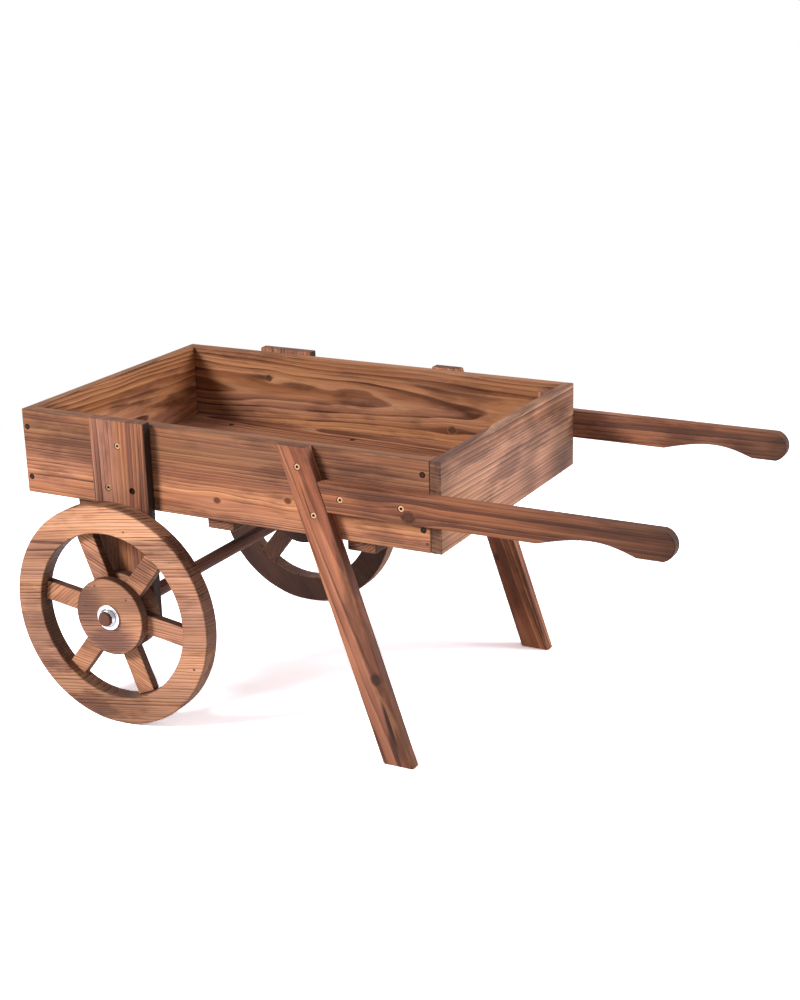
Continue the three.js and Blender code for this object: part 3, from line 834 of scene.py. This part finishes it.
# The push-on rings' zinc is painted darker than the washers', as shade that sets them apart.
shadedRingZinc = zincPlate("zinc plate on spring steel with painted shade", "#a9a9ae", (0.2, 0.4))
yellowZinc = zincPlate("yellow zinc plate", "#ba9572", (0.45, 0.6))
stainedZinc = zincPlate("stained zinc plate", "#2c1a13", (0.45, 0.65))
socketShade = paintedSocketShade("painted socket shade", "#180e0a")

# Washers with rolled edges, and push-on rings: domed spring steel cut into eight tongues.
fittings = {
    "washerRound": 0.6,
    "washerBore": 9.8,
    "washerSegments": 96,
    "washerSteps": 3,
    "washerHold": 0.1,
    "tongues": 8,
    "cut": 1.3,  # how deep the cuts between the tongues go
    "cutWidth": 0.16,  # share of a tongue that a cut takes
    "cutSlope": 0.03,  # share of a tongue over which a cut deepens
    "ringRadius": 12.5,
    "ringBore": 9.8,
    "lip": 1.2,
    "sheet": 0.7,
    "domeSteps": 8,
    "innerDome": 0.3,  # the lower, the sooner the inner face rises
    "ringSegments": 192,
}


# A push-on ring: its outer face rises from the lip over a quarter of a wave to the bore, and its
# inner face follows one sheet's thickness behind. The bore widens in the cuts between tongues.
def pushOnRing(base, top):
    outer, bore, lip, sheet, cut = (
        fittings[key] * mm for key in ("ringRadius", "ringBore", "lip", "sheet", "cut"))
    share = np.linspace(0, 1, fittings["domeSteps"] + 1)
    outside = np.stack([outer - (outer - bore) * share,
                        lip + (abs(top - base) - lip) * np.sin(share * math.pi / 2)], axis=-1)
    inside = np.stack([np.maximum(outer - sheet - (outer - bore - sheet) * share, bore),
                       (outside[:, 1] - sheet) * share ** fittings["innerDome"]], axis=-1)
    section = np.vstack([[[outer, 0]], outside, inside[::-1]])
    angle = np.linspace(0, 2 * math.pi, fittings["ringSegments"], endpoint=False)
    phase = (angle * fittings["tongues"] / (2 * math.pi)) % 1
    notch = (fittings["cutWidth"] / 2 - np.abs(phase - 0.5)) / fittings["cutSlope"]
    floor = np.minimum(bore + cut * np.clip(notch, 0, 1), outer - sheet)
    radii = np.maximum(section[:, :1], floor[None, :])
    along = base + math.copysign(1, top - base) * section[:, 1]
    return turnedPoints(radii, along, axleX, axleZ, fittings["ringSegments"])


for sideName, side in sides.items():
    for place in ("inner", "outer"):
        node = f"{sideName}_{place}_washer"
        low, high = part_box(node)
        bore, rounding, hold = (
            fittings[key] * mm for key in ("washerBore", "washerRound", "washerHold"))
        section = roundedLoop(bore, (high.x - low.x) / 2, low.y, high.y, rounding,
                              fittings["washerSteps"], hold)
        points = turnedPoints(section[:, 0], section[:, 1], axleX, axleZ,
                              fittings["washerSegments"])
        addPiece(node + "_plate", gridMesh(node, points, True), [zinc], "cart",
                 [node])
    node = f"{sideName}_push_on_ring"
    low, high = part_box(node)
    points = pushOnRing(*((low.y, high.y) if side > 0 else (high.y, low.y)))
    addPiece(node + "_cap", gridMesh(node, points, True), [shadedRingZinc], "cart",
             [node])

# Countersunk wood screws with a six-lobed socket. Those that are solids in the frame sit in their
# holes; the others are in the bed's corners and on its floor, drawn by their heads alone.
woodScrew = {
    "head": 3.9,
    "cone": 2.6,
    "wall": 0.8,
    "shank": 2.0,
    "tip": 0.2,
    "taper": 6.0,  # length of the pointed end
    "rim": [(0, -0.3), (-0.1, -0.1), (-0.3, 0), (-0.6, 0)],  # the head's rounded edge
    "mouth": [(0.5, 0), (0.2, -0.1), (0, -0.3)],  # the socket's eased edge
    "mouthSwell": (0.5, 0.8, 1, 1, 1),  # how far the lobes show, from the mouth to the floor
    "shallowMouth": (0, -0.03, -0.08, -0.15, -0.15),  # the same places' depth in shallow heads
    "socket": 1.75,
    "lobe": 0.28,
    "socketDepth": 1.5,
    "socketFloor": 0.6,  # share of the socket's radius where its floor begins
    "segments": 48,
    "shadedRows": 4,  # rows of points at the end of the section between which the socket's shade is painted
    "stained": ["left_post_screw_3", "right_post_screw_2"],
    "wheelEndInset": 7.5,
    "handleEndInset": 9.5,
    "wheelEndLevels": (374, 305),
    "handleEndLevels": (380, 311),
    "standOut": 0.3,  # how far a head drawn alone stands over the wood
    "shallow": 1.8,  # how deep such a head goes
}


# A screw along Y, its head's face at 0: its section goes from the tip up the shank and the cone to
# the head, over its rounded edge and down into the socket, whose radius swells six times round.
# The socket of a head drawn alone ends above the wood, which has no hole there.
def screwPoints(length):
    head, cone, wall, shank, tip, taper, socket, lobe, deep = (
        woodScrew[key] * mm for key in (
            "head", "cone", "wall", "shank", "tip", "taper", "socket", "lobe", "socketDepth"))
    rim, mouth = (np.array(woodScrew[key]) * mm for key in ("rim", "mouth"))
    rows = np.vstack([
        [(tip, -length), (shank, -length + taper), (shank, -cone), (head, -wall)],
        rim + (head, 0), mouth + (socket, 0),
        [(socket, -deep), (socket * woodScrew["socketFloor"], -deep)]])
    inner = len(woodScrew["mouthSwell"])
    if length < cone:
        rows = rows[3:]
        rows[0] = (head, -length)
        rows[-inner:, 1] = np.array(woodScrew["shallowMouth"]) * mm
    angle = np.linspace(0, 2 * math.pi, woodScrew["segments"], endpoint=False)
    swell = np.zeros(len(rows))
    swell[-inner:] = woodScrew["mouthSwell"]
    radii = rows[:, :1] + lobe * swell[:, None] * np.cos(6 * angle)[None, :]
    return turnedPoints(radii, rows[:, 1], 0, 0, woodScrew["segments"])


# A screw's piece: the faces from the socket's mouth to its floor carry painted shade.
def addScrew(name, points, stained, stands=()):
    mesh = gridMesh(name, points, False)
    piece = addPiece(name, mesh, [stainedZinc if stained else yellowZinc, socketShade], "cart",
                     stands)
    first, last = len(points) - woodScrew["shadedRows"], len(points) - 1
    inside = np.zeros(len(mesh.polygons), np.int32)
    inside[first * woodScrew["segments"]:last * woodScrew["segments"]] = 1
    inside[-1] = 1
    mesh.polygons.foreach_set("material_index", inside)
    return piece


for node in sorted(frame["nodes"]):
    if "screw" in node:
        low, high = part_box(node)
        side = sides[node.split("_")[0]]
        points = screwPoints(high.y - low.y) * (1, side, 1)
        points += ((low.x + high.x) / 2, high.y if side > 0 else low.y, (low.z + high.z) / 2)
        addScrew(node + "_head", points, node in woodScrew["stained"], [node])
shallow = screwPoints(woodScrew["shallow"] * mm)
standOut = woodScrew["standOut"] * mm
for sideName, side in sides.items():
    low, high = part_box(f"{sideName}_side_board")
    face = (high.y if side > 0 else low.y) + side * standOut
    for place, x, levels in (
            ("wheel_end", low.x + woodScrew["wheelEndInset"] * mm, woodScrew["wheelEndLevels"]),
            ("handle_end", high.x - woodScrew["handleEndInset"] * mm,
             woodScrew["handleEndLevels"])):
        for k, z in enumerate(levels):
            addScrew(f"{sideName}_{place}_screw_{k + 1}",
                     shallow * (1, side, 1) + (x, face, z * mm), True)
slats, battens = (sorted(node for node in frame["nodes"] if node.startswith(start))
                  for start in ("floor_slat_", "floor_batten_"))
for slat, slatNode in enumerate(slats, 1):
    slatLow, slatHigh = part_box(slatNode)
    for batten, battenNode in enumerate(battens, 1):
        low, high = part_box(battenNode)
        spot = ((low.x + high.x) / 2, (slatLow.y + slatHigh.y) / 2, slatHigh.z + standOut)
        addScrew(f"floor_screw_{slat}_{batten}", shallow[..., [0, 2, 1]] + spot, True)
print("fittings made")

# Camera at the photograph's viewing angle: it looks at a point over the floor from an azimuth,
# an elevation and a distance, with a slight roll.
cameraPlace = {
    "target": (-0.0009, 0.0, 0.2704),
    "azimuth": 28.516,
    "elevation": 18.133,
    "roll": -1.55,
    "distance": 2.4024,
    "lens": 65.47,
    "sensor": 36,
}
azimuth, elevation, roll = (
    math.radians(cameraPlace[key]) for key in ("azimuth", "elevation", "roll"))
back = Vector((math.sin(azimuth) * math.cos(elevation), -math.cos(azimuth) * math.cos(elevation),
               math.sin(elevation)))
level = (-back).cross(Vector((0, 0, 1))).normalized()
upright = level.cross(-back)
right = level * math.cos(roll) + upright * math.sin(roll)
up = upright * math.cos(roll) - level * math.sin(roll)
camera = bpy.data.objects.new("camera", bpy.data.cameras.new("camera"))
camera.data.lens = cameraPlace["lens"]
camera.data.sensor_width = cameraPlace["sensor"]
scene.collection.objects.link(camera)
axes = Matrix((right, up, back)).transposed().to_4x4()
camera.matrix_world = Matrix.Translation(
    Vector(cameraPlace["target"]) + back * cameraPlace["distance"]) @ axes
scene.camera = camera

# Soft studio light: a large key at the front left, a weaker fill behind on the right, a faint lamp
# overhead and a pale surround.
studio = {
    "lamps": {
        "key": dict(place=(-2.0, -2.7, 2.2), size=1.0, power=150),
        "fill": dict(place=(3.0, 1.5, 1.5), size=1.4, power=85),
        "top": dict(place=(0.2, 0.8, 2.9), size=2.4, power=12),
    },
    "aim": (0, 0, 0.2),
    "surround": 0.3,
    "floorTone": (0.55, 0.55, 0.55),  # what the floor throws back onto the cart
    "floorShown": (2.5, 2.43, 2.54),  # lifted, so that it is white where no shadow falls
    "floorFade": (0.9, 1.6),  # metres from the middle over which it turns to plain white
    "floorHalf": 60,
}
for name, form in studio["lamps"].items():
    lamp = bpy.data.lights.new(name, "AREA")
    lamp.size = form["size"]
    lamp.energy = form["power"]
    light = bpy.data.objects.new(name, lamp)
    scene.collection.objects.link(light)
    light.location = form["place"]
    aim = Vector(studio["aim"]) - light.location
    light.rotation_euler = aim.to_track_quat("-Z", "Y").to_euler()


# 1 where the camera sees the background, by itself or in or through a surface, and 0 elsewhere.
def backgroundShown(add):
    path = add("LightPath")
    shown = add("Math", [path.outputs["Is Camera Ray"], path.outputs["Is Glossy Ray"]],
                operation="MAXIMUM")
    return add("Math", [shown, path.outputs["Is Transmission Ray"]], operation="MAXIMUM")


world = bpy.data.worlds.new("surround")
scene.world = world
world.use_nodes = True
world.node_tree.nodes.clear()
add = partial(addNode, world.node_tree)
strength = add("MapRange", [backgroundShown(add), 0, 1, studio["surround"], 1])
add("OutputWorld", {"Surface": add("Background", {"Color": (1, 1, 1, 1), "Strength": strength})})

# Pale floor: it keeps the object's shadow, and shows white where it is fully lit.
material, add = newMaterial("pale floor")
shown = backgroundShown(add)
colour = add("Mix", [shown, studio["floorTone"] + (1,), studio["floorShown"] + (1,)],
             data_type="RGBA")
lit = add("BsdfDiffuse", {"Color": colour})
away = add("VectorMath", [add("TexCoord").outputs["Object"]], operation="LENGTH")
far = add("MapRange", [away, *studio["floorFade"], 0, 1])
far = add("Math", [far, shown], operation="MULTIPLY")
white = add("Emission", {"Color": (1, 1, 1, 1), "Strength": 1.0})
add("OutputMaterial", {"Surface": add("MixShader", [far, lit, white])})
half = studio["floorHalf"]
mesh = bpy.data.meshes.new("floor")
mesh.from_pydata([(-half, -half, 0), (half, -half, 0), (half, half, 0), (-half, half, 0)], [],
                 [(0, 1, 2, 3)])
mesh.materials.append(material)
floor = bpy.data.objects.new("floor", mesh)
scene.collection.objects.link(floor)
scene.view_settings.view_transform = "Standard"
print("stage set")
